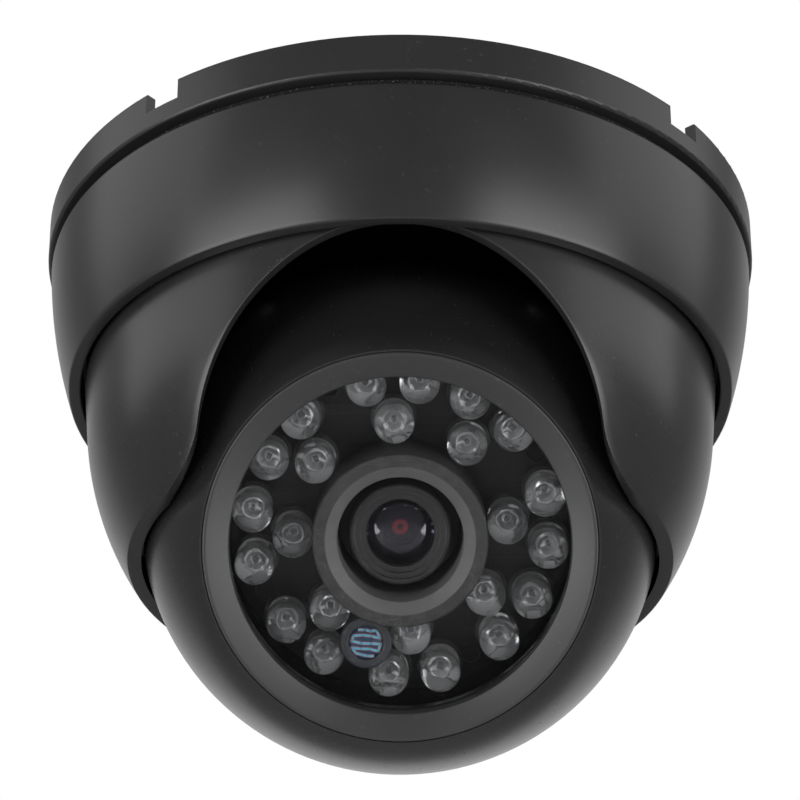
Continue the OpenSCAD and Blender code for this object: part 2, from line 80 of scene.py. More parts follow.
def makeCamera():
    data = bpy.data.cameras.new("camera")
    data.lens = camera["lens"]
    data.sensor_width = camera["sensor"]
    data.shift_x = camera["shift"]
    data.clip_start = 0.01
    view = bpy.data.objects.new("camera", data)
    view.location = camera["place"]
    view.rotation_euler = (math.radians(90 + camera["rise"]), 0, 0)
    bpy.context.scene.collection.objects.link(view)
    bpy.context.scene.camera = view


def makeSoftbox(box):
    data = bpy.data.lights.new(box["name"], "AREA")
    data.shape = "RECTANGLE"
    data.size, data.size_y = box["size"]
    data.energy = box["power"]
    lamp = bpy.data.objects.new(box["name"], data)
    lamp.location = box["place"]
    aim = ballCentre - Vector(box["place"])
    lamp.rotation_euler = aim.to_track_quat("-Z", "Y").to_euler()
    bpy.context.scene.collection.objects.link(lamp)


# Shader nodes as Python expressions

class Link:  # an output socket that takes part in sums
    def __init__(self, finish, socket):
        self.finish = finish
        self.socket = socket

    def maths(self, operation, first, second):
        return self.finish.node("Math", {"operation": operation}, {0: first, 1: second})

    def __add__(self, other):
        return self.maths("ADD", self, other)

    def __radd__(self, other):
        return self.maths("ADD", other, self)

    def __sub__(self, other):
        return self.maths("SUBTRACT", self, other)

    def __rsub__(self, other):
        return self.maths("SUBTRACT", other, self)

    def __mul__(self, other):
        return self.maths("MULTIPLY", self, other)

    def __rmul__(self, other):
        return self.maths("MULTIPLY", other, self)

    def __truediv__(self, other):
        return self.maths("DIVIDE", self, other)


class Finish:  # one node tree, of a material or of the world
    def __init__(self, name, kind=bpy.data.materials):
        self.material = kind.new(name)
        self.material.use_nodes = True
        self.tree = self.material.node_tree
        self.tree.nodes.clear()

    def node(self, kind, settings=None, inputs=None, output=0):
        made = self.tree.nodes.new("ShaderNode" + kind)
        for key, value in (settings or {}).items():
            if key == "stops":
                ramp = made.color_ramp.elements
                ramp[1].position, ramp[0].position = value[-1][0], value[0][0]
                ramp[1].color, ramp[0].color = (*value[-1][1], 1), (*value[0][1], 1)
                for place, colour in value[1:-1]:
                    ramp.new(place).color = (*colour, 1)
            else:
                setattr(made, key, value)
        for key, value in (inputs or {}).items():
            if isinstance(value, Link):
                self.tree.links.new(value.socket, made.inputs[key])
            else:
                made.inputs[key].default_value = value
        return Link(self, made.outputs[output]) if made.outputs else None

    def spot(self, centre=(0, 0, 0), turn=(0, 0, 0)):  # object coordinates from a centre, turned
        coords = self.node("TexCoord", output="Object")
        turned = self.node("Mapping", {"vector_type": "TEXTURE"},
                           {"Vector": coords, "Location": centre, "Rotation": turn})
        return turned

    def noise(self, at, size, detail=3, rough=0.5, warp=0):  # size of a feature in mm
        return self.node("TexNoise", {}, {"Vector": at, "Scale": 1 / (size * mm), "Detail": detail,
                                          "Roughness": rough, "Distortion": warp}, "Fac")

    def ramp(self, fac, *stops):
        return self.node("ValToRGB", {"stops": stops}, {"Fac": fac})

    def mix(self, fac, first, second):
        return self.node("Mix", {"data_type": "RGBA"}, {0: fac, 6: first, 7: second}, 2)

    def step(self, value, low, high):  # 0 below the first value, 1 above the second
        return self.node("MapRange", {"clamp": True}, {"Value": value, "From Min": low, "From Max": high})

    def radius(self, at):  # distance from the local Z axis in mm
        x = self.node("SeparateXYZ", {}, {"Vector": at}) / mm
        y = self.node("SeparateXYZ", {}, {"Vector": at}, 1) / mm
        return self.node("Math", {"operation": "SQRT"}, {0: x * x + y * y})

    def bump(self, height, depth):  # depth in mm
        return self.node("Bump", {}, {"Height": height, "Distance": depth * mm})

    def shader(self, values):
        made = self.node("BsdfPrincipled", {}, values)
        self.node("OutputMaterial", {}, {"Surface": made})
        return self.material


def grey(level, tint=(1, 1, 1)):
    return (level * tint[0], level * tint[1], level * tint[2], 1)


# Materials

def mouldedPlastic(name, level, rough, grainDepth=0.006):
    tint = (1, 1, 1.03)
    f = Finish(name)
    at = f.spot()
    cloud = f.noise(at, 14, 4, 0.55)
    grain = f.noise(at, 0.16, 2, 0.6)
    waves = f.noise(at, 9, 2, 0.4)
    speck = f.ramp(f.noise(at, 0.55, 1, 0.4), (0.72, (0, 0, 0)), (0.76, (1, 1, 1)))
    scratch = f.node("Mapping", {}, {"Vector": at, "Scale": (1, 1, 9), "Rotation": (0.3, 0.2, 0.5)})
    lines = f.ramp(f.noise(scratch, 2.2, 5, 0.7), (0.66, (0, 0, 0)), (0.72, (1, 1, 1)))
    base = f.mix(cloud, grey(level * 0.82, tint), grey(level * 1.22, tint))
    colour = f.mix(speck * 0.35, base, grey(level * 3.2, tint))
    roughness = rough + 0.10 * (cloud - 0.5) + 0.10 * speck + 0.04 * lines
    height = 0.25 * grain + 0.55 * waves + 0.04 * speck
    return f.shader({"Base Color": colour, "Roughness": roughness, "IOR": 1.5,
                     "Normal": f.bump(height, grainDepth)})


def makeFoam():
    f = Finish("foam")
    at = f.spot()
    cells = f.node("TexVoronoi", {"feature": "F1"}, {"Vector": at, "Scale": 1 / (0.45 * mm)}, "Distance")
    pores = f.noise(at, 0.3, 3, 0.7)
    # paler specks painted into the colour: painted glints of light on the foam's cells
    paintedGlint = f.ramp(pores, (0.60, (0, 0, 0)), (0.66, (1, 1, 1)))
    colour = f.mix(paintedGlint, grey(0.008), grey(0.16))
    return f.shader({"Base Color": colour, "Roughness": 0.82 - 0.25 * paintedGlint, "IOR": 1.4,
                     "Normal": f.bump(cells + pores, 0.35)})


def makeRubber(name, level, rough, grain=0.12, depth=0.03, tint=(1, 1, 1)):
    f = Finish(name)
    at = f.spot()
    fine = f.noise(at, grain, 3, 0.7)
    cloud = f.noise(at, 3, 3, 0.5)
    light = f.ramp(fine, (0.50, (0, 0, 0)), (0.72, (1, 1, 1)))
    base = f.mix(cloud, grey(level * 0.8, tint), grey(level * 1.15, tint))
    colour = f.mix(light, base, grey(level * 2.4, tint))
    return f.shader({"Base Color": colour, "Roughness": rough + 0.12 * (cloud - 0.5), "IOR": 1.45,
                     "Normal": f.bump(fine, depth)})


def makeHoodRubber():  # coarse speckled face, and a smoother sloped mouth painted paler: a painted highlight where the slope catches the light
    f = Finish("hoodRubber")
    at = f.spot(ballCentre, (lensTurn, 0, 0))
    face = f.step(f.radius(at), 9.10, 9.22)
    fine = f.noise(at, 0.14, 3, 0.75)
    patch = f.noise(at, 1.6, 3, 0.6)
    speck = f.ramp(fine + 0.25 * (patch - 0.5), (0.48, (0, 0, 0)), (0.70, (1, 1, 1)))
    rough = f.mix(speck, grey(0.016), grey(0.095))
    # the sloped mouth is painted paler: painted highlight
    slope = f.mix(patch, grey(0.085), grey(0.120))
    return f.shader({"Base Color": f.mix(face, slope, rough), "Roughness": 0.50 + 0.12 * face,
                     "IOR": 1.45, "Normal": f.bump(fine * (0.2 + face), 0.05)})


def makeMetal(name, colour, rough, brush=(1, 1, 1), depth=0.004, metallic=1.0):
    f = Finish(name)
    at = f.node("Mapping", {}, {"Vector": f.spot(), "Scale": brush})
    streak = f.noise(at, 0.12, 4, 0.7)
    cloud = f.noise(f.spot(), 2.5, 3, 0.5)
    dark = (colour[0] * 0.72, colour[1] * 0.72, colour[2] * 0.74, 1)
    return f.shader({"Base Color": f.mix(cloud, dark, (*colour, 1)), "Metallic": metallic,
                     "Roughness": rough + 0.16 * (streak - 0.5), "Normal": f.bump(streak, depth)})


def makeAnodised():  # turned rings round the lens axis, with painted shade under the glass: dead black and not metallic there
    f = Finish("anodised")
    at = f.spot(ballCentre, (lensTurn, 0, 0))
    radius = f.radius(at)
    ring = f.node("Math", {"operation": "SINE"}, {0: radius / 0.045})
    # painted shade: the recess under the glass is dead black and not metallic
    clearOfShade = f.step(radius, 4.22, 4.30)
    cloud = f.noise(at, 1.2, 3, 0.6)
    colour = f.mix(clearOfShade, grey(0.004), f.mix(cloud, grey(0.026), grey(0.042)))
    return f.shader({"Base Color": colour, "Metallic": 0.3 * clearOfShade, "IOR": 1.5,
                     "Roughness": 0.62 + 0.06 * ring - 0.2 * clearOfShade, "Normal": f.bump(ring, 0.004)})


def makeGlass(name, tint, rough, ior):
    f = Finish(name)
    at = f.spot()
    film = f.noise(at, 5, 4, 0.6, 0.4)
    return f.shader({"Base Color": (*tint, 1), "Roughness": rough + 0.03 * film, "IOR": ior,
                     "Transmission Weight": 1.0})


def makeWindow():  # thin clear pane: mostly lets the eye through, with a faint film on it
    f = Finish("windowPane")
    at = f.spot()
    film = f.ramp(f.noise(at, 6, 5, 0.65, 0.6), (0.45, (0, 0, 0)), (0.85, (1, 1, 1)))
    dust = f.ramp(f.noise(at, 0.35, 1, 0.4), (0.765, (0, 0, 0)), (0.79, (1, 1, 1)))
    return f.shader({"Base Color": f.mix(dust, grey(0.03), grey(0.55)),
                     "Roughness": 0.02 + 0.10 * film, "IOR": 1.45,
                     "Alpha": 0.05 + 0.02 * film + 0.12 * dust})


def makeEpoxy():
    f = Finish("ledEpoxy")
    at = f.spot()
    flow = f.noise(at, 1.1, 2, 0.4)
    haze = f.noise(at, 0.5, 3, 0.6)
    return f.shader({"Base Color": (0.95, 0.97, 1.0, 1), "Roughness": 0.015 + 0.04 * haze, "IOR": 1.53,
                     "Transmission Weight": 0.95, "Normal": f.bump(flow, 0.07)})


def makeCircuitBoard(name, mask, copper, pitch, shine=0.38):  # straight faint tracks, some with a via whose hole is painted shade
    f = Finish(name)
    at = f.spot(ballCentre, (lensTurn, 0, 0))
    rows = f.node("TexBrick", {"offset": 0.37, "squash": 0.6, "squash_frequency": 3},
                  {"Vector": at, "Scale": 1 / (pitch * mm), "Mortar Size": 0.05, "Mortar Smooth": 0.2,
                   "Brick Width": 0.9, "Row Height": 0.35}, "Fac")
    patch = f.step(f.noise(at, 6, 1, 0.4), 0.46, 0.52)
    reach = f.node("TexVoronoi", {"feature": "F1"}, {"Vector": at, "Scale": 1 / (5 * mm),
                                                     "Randomness": 0.9}, "Distance") * 5
    pad = 1 - f.step(reach, 0.55, 0.60)
    # the via's hole is painted near black: painted shade in the hole
    viaHoleShade = 1 - f.step(reach, 0.30, 0.34)
    track = rows * patch
    fine = f.noise(at, 0.25, 3, 0.6)
    cloud = f.noise(at, 5, 3, 0.5)
    floor = f.mix(cloud, (*[c * 0.7 for c in mask], 1), (*[c * 1.3 for c in mask], 1))
    lines = f.mix(track, floor, (*copper, 1))
    ringed = f.mix(pad * patch, lines, (*[c * 2.2 for c in copper], 1))
    return f.shader({"Base Color": f.mix(viaHoleShade * patch, ringed, grey(0.001)), "IOR": 1.5,
                     "Roughness": shine + 0.14 * (fine - 0.5) - 0.06 * track,
                     "Normal": f.bump(0.6 * track + 0.25 * fine - viaHoleShade * patch, 0.03)})


def makeSpeckled(name, first, second, size, rough, depth=0.01):  # ceramic, nylon, the LED dies and the light cell
    f = Finish(name)
    at = f.spot()
    fine = f.noise(at, size, 4, 0.6)
    cloud = f.noise(at, size * 14, 3, 0.5)
    mixed = f.ramp(0.7 * fine + 0.3 * cloud, (0.35, first), (0.65, second))
    return f.shader({"Base Color": mixed, "Roughness": rough + 0.15 * (cloud - 0.5),
                     "IOR": 1.5, "Normal": f.bump(fine, depth)})


def makePaintedGlow():  # a painted reflection deep in the lens: a red ring painted into the colour and made to glow
    f = Finish("paintedRedGlint")
    at = f.spot(ballCentre, (lensTurn, 0, 0))
    mottle = f.noise(at, 0.35, 2, 0.6)
    shade = f.ramp(f.radius(at) + 0.2 * (mottle - 0.5), (0.0, (0.02, 0.003, 0.004)),
                   (0.30, (0.06, 0.006, 0.006)), (0.45, (0.42, 0.030, 0.022)),
                   (0.85, (0.34, 0.030, 0.026)), (1.0, (0.05, 0.012, 0.016)))
    # the emission makes this painted reflection glow, though no lamp is there
    return f.shader({"Base Color": shade, "Roughness": 0.35 + 0.2 * mottle,
                     "Emission Color": shade, "Emission Strength": 0.4})


def makeFinishes():
    return {
        "base": mouldedPlastic("basePlastic", 0.020, 0.34),
        "bell": mouldedPlastic("bellPlastic", 0.018, 0.30),
        "turret": mouldedPlastic("turretPlastic", 0.018, 0.28),
        "ball": mouldedPlastic("ballPlastic", 0.013, 0.26),
        "bezel": mouldedPlastic("bezelPlastic", 0.026, 0.42, 0.010),
        "inner": mouldedPlastic("innerPlastic", 0.014, 0.55, 0.012),
        "foam": makeFoam(),
        "rubber": makeRubber("sealRubber", 0.012, 0.55),
        "hood": makeHoodRubber(),
        "sleeve": makeRubber("sleeveRubber", 0.030, 0.50, 0.3, 0.02, (0.88, 0.97, 1.15)),
        "washer": makeRubber("nylon", 0.045, 0.45, 0.4, 0.01),
        "pin": makeMetal("groundSteel", (0.62, 0.63, 0.65), 0.25, (1, 8, 8)),
        "screw": makeMetal("zincSteel", (0.55, 0.56, 0.58), 0.33),
        "brass": makeMetal("brass", (0.78, 0.60, 0.30), 0.28),
        "leadFrame": makeMetal("silverFrame", (0.97, 0.97, 0.96), 0.24, metallic=0.5),
        "barrel": makeAnodised(),
        "window": makeWindow(),
        "lens": makeGlass("lensGlass", (0.42, 0.40, 0.58), 0.02, 1.55),
        "filter": makeGlass("filterGlass", (0.80, 0.45, 0.50), 0.03, 1.5),
        "epoxy": makeEpoxy(),
        "ledBoard": makeCircuitBoard("blackBoard", (0.0045, 0.0050, 0.0045), (0.010, 0.011, 0.010), 3.2),
        "sensorBoard": makeCircuitBoard("greenBoard", (0.012, 0.085, 0.040), (0.03, 0.17, 0.08), 2.4),
        "ceramic": makeSpeckled("chipCeramic", (0.09, 0.075, 0.06), (0.14, 0.12, 0.10), 0.2, 0.5),
        "nylon": makeSpeckled("connectorNylon", (0.70, 0.68, 0.61), (0.80, 0.79, 0.73), 0.25, 0.42),
        "die": makeSpeckled("ledDie", (0.05, 0.05, 0.06), (0.22, 0.22, 0.24), 0.05, 0.3),
        "cellBase": makeSpeckled("cellCeramic", (0.010, 0.030, 0.075), (0.020, 0.060, 0.120), 0.2, 0.3),
        "cellTrack": makeSpeckled("cellTrack", (0.10, 0.32, 0.46), (0.16, 0.46, 0.60), 0.15, 0.35),
        "cellEdge": makeSpeckled("cellEdge", (0.20, 0.03, 0.03), (0.34, 0.06, 0.05), 0.15, 0.4),
        "paintedGlint": makePaintedGlow(),
    }


# Mesh helpers, working in mm

def arcPoints(centre, radius, start, end, steps):  # angles in degrees, in the plane of the profile
    points = []
    for i in range(steps + 1):
        a = math.radians(start + (end - start) * i / steps)
        points.append((centre[0] + radius * math.cos(a), centre[1] + radius * math.sin(a)))
    return points


def softCorners(points, steps=4):  # a point's third value is the radius that rounds its corner
    made = []
    for i, point in enumerate(points):
        if len(point) < 3:
            made.append(point)
            continue
        here = Vector(point[:2])
        before = (Vector(points[i - 1][:2]) - here).normalized()
        after = (Vector(points[(i + 1) % len(points)][:2]) - here).normalized()
        half = before.angle(after) / 2
        reach = point[2] / math.tan(half)
        start, end = here + before * reach, here + after * reach
        for k in range(steps + 1):
            t = k / steps
            made.append(tuple((1 - t) ** 2 * start + 2 * t * (1 - t) * here + t * t * end))
    return made


def turnProfile(bm, points, steps=128, angle=360, start=0, closed=True):  # revolves (r, z) points about Z
    turn = Matrix.Rotation(math.radians(start), 4, "Z")
    verts = [bm.verts.new(turn @ Vector((p[0], 0, p[1]))) for p in points]
    ends = verts[1:] + verts[:1] if closed else verts[1:]
    edges = [bm.edges.new(pair) for pair in zip(verts, ends)]
    geom = verts + edges
    if angle < 360:
        geom = geom + [bm.faces.new(verts)]
    bmesh.ops.spin(bm, geom=geom, axis=(0, 0, 1), cent=(0, 0, 0), dvec=(0, 0, 0),
                   angle=math.radians(angle), steps=steps, use_merge=angle == 360)


def block(a, b, c, d):  # corners of a ring's cross-section
    return [(a, c), (b, c), (b, d), (a, d)]


def sealMesh(bm, weld=0.001):
    bmesh.ops.remove_doubles(bm, verts=bm.verts, dist=weld)
    bmesh.ops.recalc_face_normals(bm, faces=bm.faces)


def piece(bm, name, material, body, place=upright, replaces=(), smooth=40):
    bmesh.ops.transform(bm, matrix=place @ Matrix.Scale(mm, 4), verts=bm.verts)
    mesh = bpy.data.meshes.new(name)
    bm.to_mesh(mesh)
    bm.free()
    mesh.materials.append(material)
    made = bpy.data.objects.new(name, mesh)
    bpy.context.scene.collection.objects.link(made)
    mesh.shade_smooth()
    mesh.set_sharp_from_angle(angle=math.radians(smooth))
    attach(made, body)
    if replaces:
        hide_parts(*replaces)
    return made


# The bell and its inner tabs

bell = {"curve": 67.2, "wall": 1.6, "lipWidth": 1.55, "ledge": 4.0, "bore": 41.76, "boreTop": -18.6,
        "edge": 0.3, "tabs": (60, 18, 42.06, -10.9, 2.0), "stop": (90, 6, 40.75, 2.2)}


def bellCurve(low, high, offset, steps=26):  # arc between two heights, a wall's depth inside the outline
    (r0, z0), (r1, z1) = bell["foot"], bell["crown"]
    chord = math.dist((r0, z0), (r1, z1))
    reach = math.sqrt(bell["curve"] ** 2 - chord ** 2 / 4)
    centre = ((r0 + r1) / 2 - reach * (z1 - z0) / chord, (z0 + z1) / 2 + reach * (r1 - r0) / chord)
    radius = bell["curve"] - offset
    angles = [math.degrees(math.asin((z - centre[1]) / radius)) for z in (low, high)]
    return arcPoints(centre, radius, *angles, steps)


def makeBell():
    low, high = span("bell_housing")
    lip = span("turret_shroud")[1]
    bell["crown"] = (high.x, high.z)
    bell["foot"] = (high.x - 3.05, low.z)
    inner = bell["foot"][0] - bell["lipWidth"]
    ledge = low.z + bell["ledge"]
    edge = bell["edge"]
    outside = bellCurve(low.z, high.z, 0)
    inside = bellCurve(bell["boreTop"], high.z, bell["wall"])
    outside[0] = (*outside[0], edge)
    outside[-1] = (*outside[-1], edge)
    profile = outside + inside[::-1] + [
        (bell["bore"], bell["boreTop"]), (bell["bore"], ledge), (inner, ledge), (inner, low.z, edge)]
    bm = bmesh.new()
    turnProfile(bm, softCorners(profile), 192)
    sealMesh(bm)
    angle, width, r, z, thick = bell["tabs"]
    for k in range(3):
        turnProfile(bm, block(r, 43.3, z, z + thick), 8, width, angle + 120 * k - width / 2)
    angle, width, r, tall = bell["stop"]
    turnProfile(bm, block(r, 43.0, bell["boreTop"], bell["boreTop"] + tall), 4, width, angle - width / 2)
    bmesh.ops.recalc_face_normals(bm, faces=bm.faces)
    return piece(bm, "bellShell", finishes["bell"], "cover", replaces=["bell_housing"])


# The turret that opens in an arch at the front

turret = {"globe": 38.436, "globeAt": -27.7, "coneTop": -24.0, "wall": 1.5, "tube": 38.9,
          "flange": (41.7, -20.4), "top": -18.8, "archRadius": 24.5, "archRise": 1.1,
          "flareRadius": 6.0, "flareDip": 0.4, "edge": 0.32,
          "boss": (4.4, 33.0, 37.5), "tab": (6, 40.75, 2.2)}


def shroudRadius(z, offset):  # a tube, then a slight cone that runs into a sphere
    tube, globe = turret["tube"] + offset, turret["globe"] + offset
    top, middle = turret["coneTop"], turret["globeAt"]
    if z >= top:
        return tube
    turn = math.atan2(top - middle, tube) - math.acos(globe / math.hypot(tube, top - middle))
    joinR, joinZ = globe * math.cos(turn), middle + globe * math.sin(turn)
    if z > joinZ:
        return joinR + (tube - joinR) * (z - joinZ) / (top - joinZ)
    return math.sqrt(globe ** 2 - (z - middle) ** 2)


def archLine(lip):  # half of the arch from its top to the lip, as (x, z) points
    centre = lip + turret["archRise"]
    flareZ = lip + turret["flareRadius"] - turret["flareDip"]
    reach = turret["archRadius"] + turret["flareRadius"]
    flareX = math.sqrt(reach ** 2 - (flareZ - centre) ** 2)
    join = math.degrees(math.asin((flareZ - centre) / reach))
    arch = arcPoints((0, centre), turret["archRadius"], 90, join, 44)
    foot = 270 - math.degrees(math.acos(1 - turret["flareDip"] / turret["flareRadius"]))
    flare = arcPoints((flareX, flareZ), turret["flareRadius"], 180 + join, foot, 14)
    return arch + flare[1:]


def shroudSheet(bm, offset, lip, top, rows=30, back=46):  # rings of points from the cut edge up to the top
    arch = [(math.asin(min(1, x / shroudRadius(z, offset))), z) for x, z in archLine(lip)]
    corner = arch[-1][0]
    half = arch + [(corner + (math.pi - corner) * k / back, lip) for k in range(1, back + 1)]
    edge = half[::-1] + [(-a, z) for a, z in half[1:-1]]
    tops = []
    for k in range(len(half)):
        tops.append(math.pi * k / (len(half) - 1))
    tops = tops[::-1] + [-a for a in tops[1:-1]]
    rings = []
    for j in range(rows + 1):
        t = j / rows
        ring = []
        for (a, z), end in zip(edge, tops):
            height = z + (top - z) * t
            turn = a + (end - a) * t
            r = shroudRadius(height, offset)
            ring.append(bm.verts.new((r * math.sin(turn), -r * math.cos(turn), height)))
        rings.append(ring)
    for low, high in zip(rings, rings[1:]):
        for k in range(len(low)):
            n = (k + 1) % len(low)
            bm.faces.new((low[k], low[n], high[n], high[k]))
    return rings[0], rings[-1]


def loopEdges(bm, ring):
    return [bm.edges.get((a, b)) for a, b in zip(ring, ring[1:] + ring[:1])]


def makeTurret():
    low, high = span("turret_shroud")
    wall = turret["wall"]
    flangeR, flangeZ = turret["flange"]
    bm = bmesh.new()
    outerLow, outerTop = shroudSheet(bm, wall, low.z, flangeZ)
    innerLow, innerTop = shroudSheet(bm, 0, low.z, turret["top"])
    cut = loopEdges(bm, outerLow) + loopEdges(bm, innerLow)
    wallFaces = bmesh.ops.bridge_loops(bm, edges=cut)["faces"]
    ring = loopEdges(bm, outerTop)
    out = bmesh.ops.extrude_edge_only(bm, edges=ring)
    rim = [v for v in out["geom"] if isinstance(v, bmesh.types.BMVert)]
    bmesh.ops.scale(bm, vec=(flangeR / (turret["tube"] + wall),) * 2 + (1,), verts=rim)
    rimEdges = [e for e in out["geom"] if isinstance(e, bmesh.types.BMEdge)]
    up = bmesh.ops.extrude_edge_only(bm, edges=rimEdges)
    upVerts = [v for v in up["geom"] if isinstance(v, bmesh.types.BMVert)]
    bmesh.ops.translate(bm, vec=(0, 0, turret["top"] - flangeZ), verts=upVerts)
    upEdges = [e for e in up["geom"] if isinstance(e, bmesh.types.BMEdge)]
    bmesh.ops.bridge_loops(bm, edges=upEdges + loopEdges(bm, innerTop))
    bmesh.ops.recalc_face_normals(bm, faces=bm.faces)
    sharp = [e for e in cut if e.is_valid]
    bmesh.ops.bevel(bm, geom=sharp, offset=turret["edge"], offset_type="OFFSET", segments=3, profile=0.5,
                    affect="EDGES", material=-1, clamp_overlap=True)
    bossR, bossIn, bossOut = turret["boss"]
    for side in (-1, 1):
        place = Matrix.Translation((side * (bossIn + bossOut) / 2, 0, ballCentre.z / mm))
        boss = bmesh.ops.create_cone(bm, cap_ends=True, segments=48, radius1=bossR, radius2=bossR,
                                     depth=bossOut - bossIn,
                                     matrix=place @ Matrix.Rotation(math.pi / 2, 4, "Y"))["verts"]
        for v in boss:  # the outer end stops inside the wall
            if abs(v.co.x) > bossIn + 1:
                v.co.x = side * math.sqrt(shroudRadius(v.co.z, wall / 2) ** 2 - v.co.y ** 2)
    width, tabR, tall = turret["tab"]
    tab = block(tabR, flangeR, turret["top"] - 0.5, turret["top"] + tall)
    turnProfile(bm, tab, 4, width, -90 - width / 2)
    bmesh.ops.recalc_face_normals(bm, faces=bm.faces)
    return piece(bm, "turretShell", finishes["turret"], "turret",
                 replaces=["turret_shroud"])


# The ring and the pane at the front of the eyeball

bezel = {"windowRadius": 20.6, "dish": 1.45, "thick": 1.55, "skirt": 22.1, "lip": 0.35, "rim": 0.4}


def makeBezel():
    low, high = span("bezel_ring", lensPlace)
    r = high.x
    seat = high.z - bezel["thick"]
    face = high.z - bezel["dish"]
    profile = [(bezel["windowRadius"], low.z), (bezel["windowRadius"], face, bezel["lip"]),
               (r, high.z, bezel["rim"]), (r, seat), (bezel["skirt"], seat), (bezel["skirt"], low.z)]
    bm = bmesh.new()
    turnProfile(bm, softCorners(profile, 5), 192)
    sealMesh(bm)
    return piece(bm, "bezelRing", finishes["bezel"], "eyeball", lensPlace, ["bezel_ring"])


def makeWindowPane():
    low, high = span("window_glass", lensPlace)
    edge = 0.25
    profile = [(0, low.z), (high.x - edge, low.z), (high.x, low.z + edge), (high.x, high.z - edge),
               (high.x - edge, high.z), (0, high.z)]
    bm = bmesh.new()
    turnProfile(bm, profile, 128, closed=False)
    sealMesh(bm)
    return piece(bm, "windowPane", finishes["window"], "eyeball", lensPlace,
                 ["window_glass"])


# The infrared LEDs on their board

led = {"body": 2.5, "flange": 2.9, "flangeThick": 1.0, "height": 8.6, "flat": 2.56, "tilt": 2.2,
       "outer": 18.45, "inner": 13.3, "first": 62.5,
       "outerEven": (14, 34.7, 55.3, 76), "outerWide": (12, 31.9, 58.1, 78),
       "innerEven": (24, 66), "innerWide": (21.95, 68.05), "wideQuarter": 1}
leadFrame = {"cup": 0.70, "cupFloor": 0.26, "cupTop": 4.9, "cupDeep": 0.4, "post": 0.5, "postAt": 1.3,
             "postTop": 5.0, "die": 0.3, "anvil": (1.9, 1.2, 0.7), "anvilTop": 4.2, "foil": (2.2, 1.3)}


def ledPlaces():  # each LED's own frame on the board, with a slight lean
    places = []
    for ring, even, wide in (("outer", "outerEven", "outerWide"), ("inner", "innerEven", "innerWide")):
        for quarter in range(4):
            angles = led[wide] if quarter == led["wideQuarter"] else led[even]
            for a in angles:
                clock = math.radians(led["first"] + 90 * quarter + a)
                x, y = led[ring] * math.sin(clock), led[ring] * math.cos(clock)
                lean = Matrix.Rotation(math.radians(random.uniform(0, led["tilt"])), 4,
                                       Vector((random.uniform(-1, 1), random.uniform(-1, 1), 0)))
                spin = Matrix.Rotation(math.radians(random.uniform(0, 360)), 4, "Z")
                base = span("led_board", lensPlace)[1].z
                places.append((ring, Matrix.Translation((x, y, base)) @ lean @ spin))
    return places


def addEpoxy(bm, place):
    body, flange, thick = led["body"], led["flange"], led["flangeThick"]
    shoulder = led["height"] - body
    outline = [(0, 0.0), (flange, 0.0), (flange, thick - 0.12), (flange - 0.12, thick),
               (body + 0.12, thick), (body, thick + 0.12)]
    outline += arcPoints((0, shoulder), body, 0, 90, 12)
    part = bmesh.new()
    turnProfile(part, outline, 40, closed=False)
    sealMesh(part)
    cut = bmesh.ops.bisect_plane(part, geom=part.verts[:] + part.edges[:] + part.faces[:], dist=0.0001,
                                 plane_co=(led["flat"], 0, 0), plane_no=(1, 0, 0), clear_outer=True)
    rim = [e for e in cut["geom_cut"] if isinstance(e, bmesh.types.BMEdge)]
    bmesh.ops.holes_fill(part, edges=rim, sides=0)
    bmesh.ops.recalc_face_normals(part, faces=part.faces)
    joinInto(bm, part, place)


def joinInto(bm, part, place):
    bmesh.ops.transform(part, matrix=place, verts=part.verts)
    mesh = bpy.data.meshes.new("part")
    part.to_mesh(mesh)
    part.free()
    bm.from_mesh(mesh)
    bpy.data.meshes.remove(mesh)


def addLeadFrame(bm, place):
    f = leadFrame
    top, floor = f["cupTop"], f["cupTop"] - f["cupDeep"]
    part = bmesh.new()
    cup = [(0, floor), (f["cupFloor"], floor), (f["cup"] - 0.12, top), (f["cup"], top),
           (f["cup"], top - 0.9), (0.45, top - 1.7), (0, top - 1.7)]
    turnProfile(part, cup, 28, closed=False)
    sealMesh(part)
    foilR, foilTop = f["foil"]  # the pale floor that shows through the flange
    turnProfile(part, [(0, foilTop), (foilR, foilTop), (foilR, foilTop - 0.1), (0, foilTop - 0.1)], 28,
                closed=False)
    anvil = bmesh.ops.create_cube(part, size=1)["verts"]
    bmesh.ops.scale(part, vec=f["anvil"], verts=anvil)
    bmesh.ops.translate(part, vec=(-0.15, 0, f["anvilTop"] - f["anvil"][2] / 2), verts=anvil)
    stem = bmesh.ops.create_cube(part, size=1)["verts"]
    bmesh.ops.scale(part, vec=(0.5, 0.9, top - 1.4), verts=stem)
    bmesh.ops.translate(part, vec=(0, 0, (top - 1.4) / 2), verts=stem)
    post = bmesh.ops.create_cube(part, size=1)["verts"]
    bmesh.ops.scale(part, vec=(f["post"], f["post"], f["postTop"]), verts=post)
    bmesh.ops.translate(part, vec=(f["postAt"], 0, f["postTop"] / 2), verts=post)
    head = bmesh.ops.create_cube(part, size=1)["verts"]
    bmesh.ops.scale(part, vec=(1.0, 0.8, 0.5), verts=head)
    bmesh.ops.translate(part, vec=(f["postAt"] + 0.1, 0, f["postTop"] - 0.25), verts=head)
    bmesh.ops.bevel(part, geom=[e for e in part.edges if e.calc_face_angle(0) > 1], offset=0.06,
                    segments=1, profile=0.5, affect="EDGES", material=-1)
    bmesh.ops.recalc_face_normals(part, faces=part.faces)
    joinInto(bm, part, place)


def addDie(bm, place):
    f = leadFrame
    part = bmesh.new()
    die = bmesh.ops.create_cube(part, size=f["die"])["verts"]
    bmesh.ops.translate(part, vec=(0, 0, f["cupTop"] - f["cupDeep"] + f["die"] / 2 + 0.01), verts=die)
    joinInto(bm, part, place)


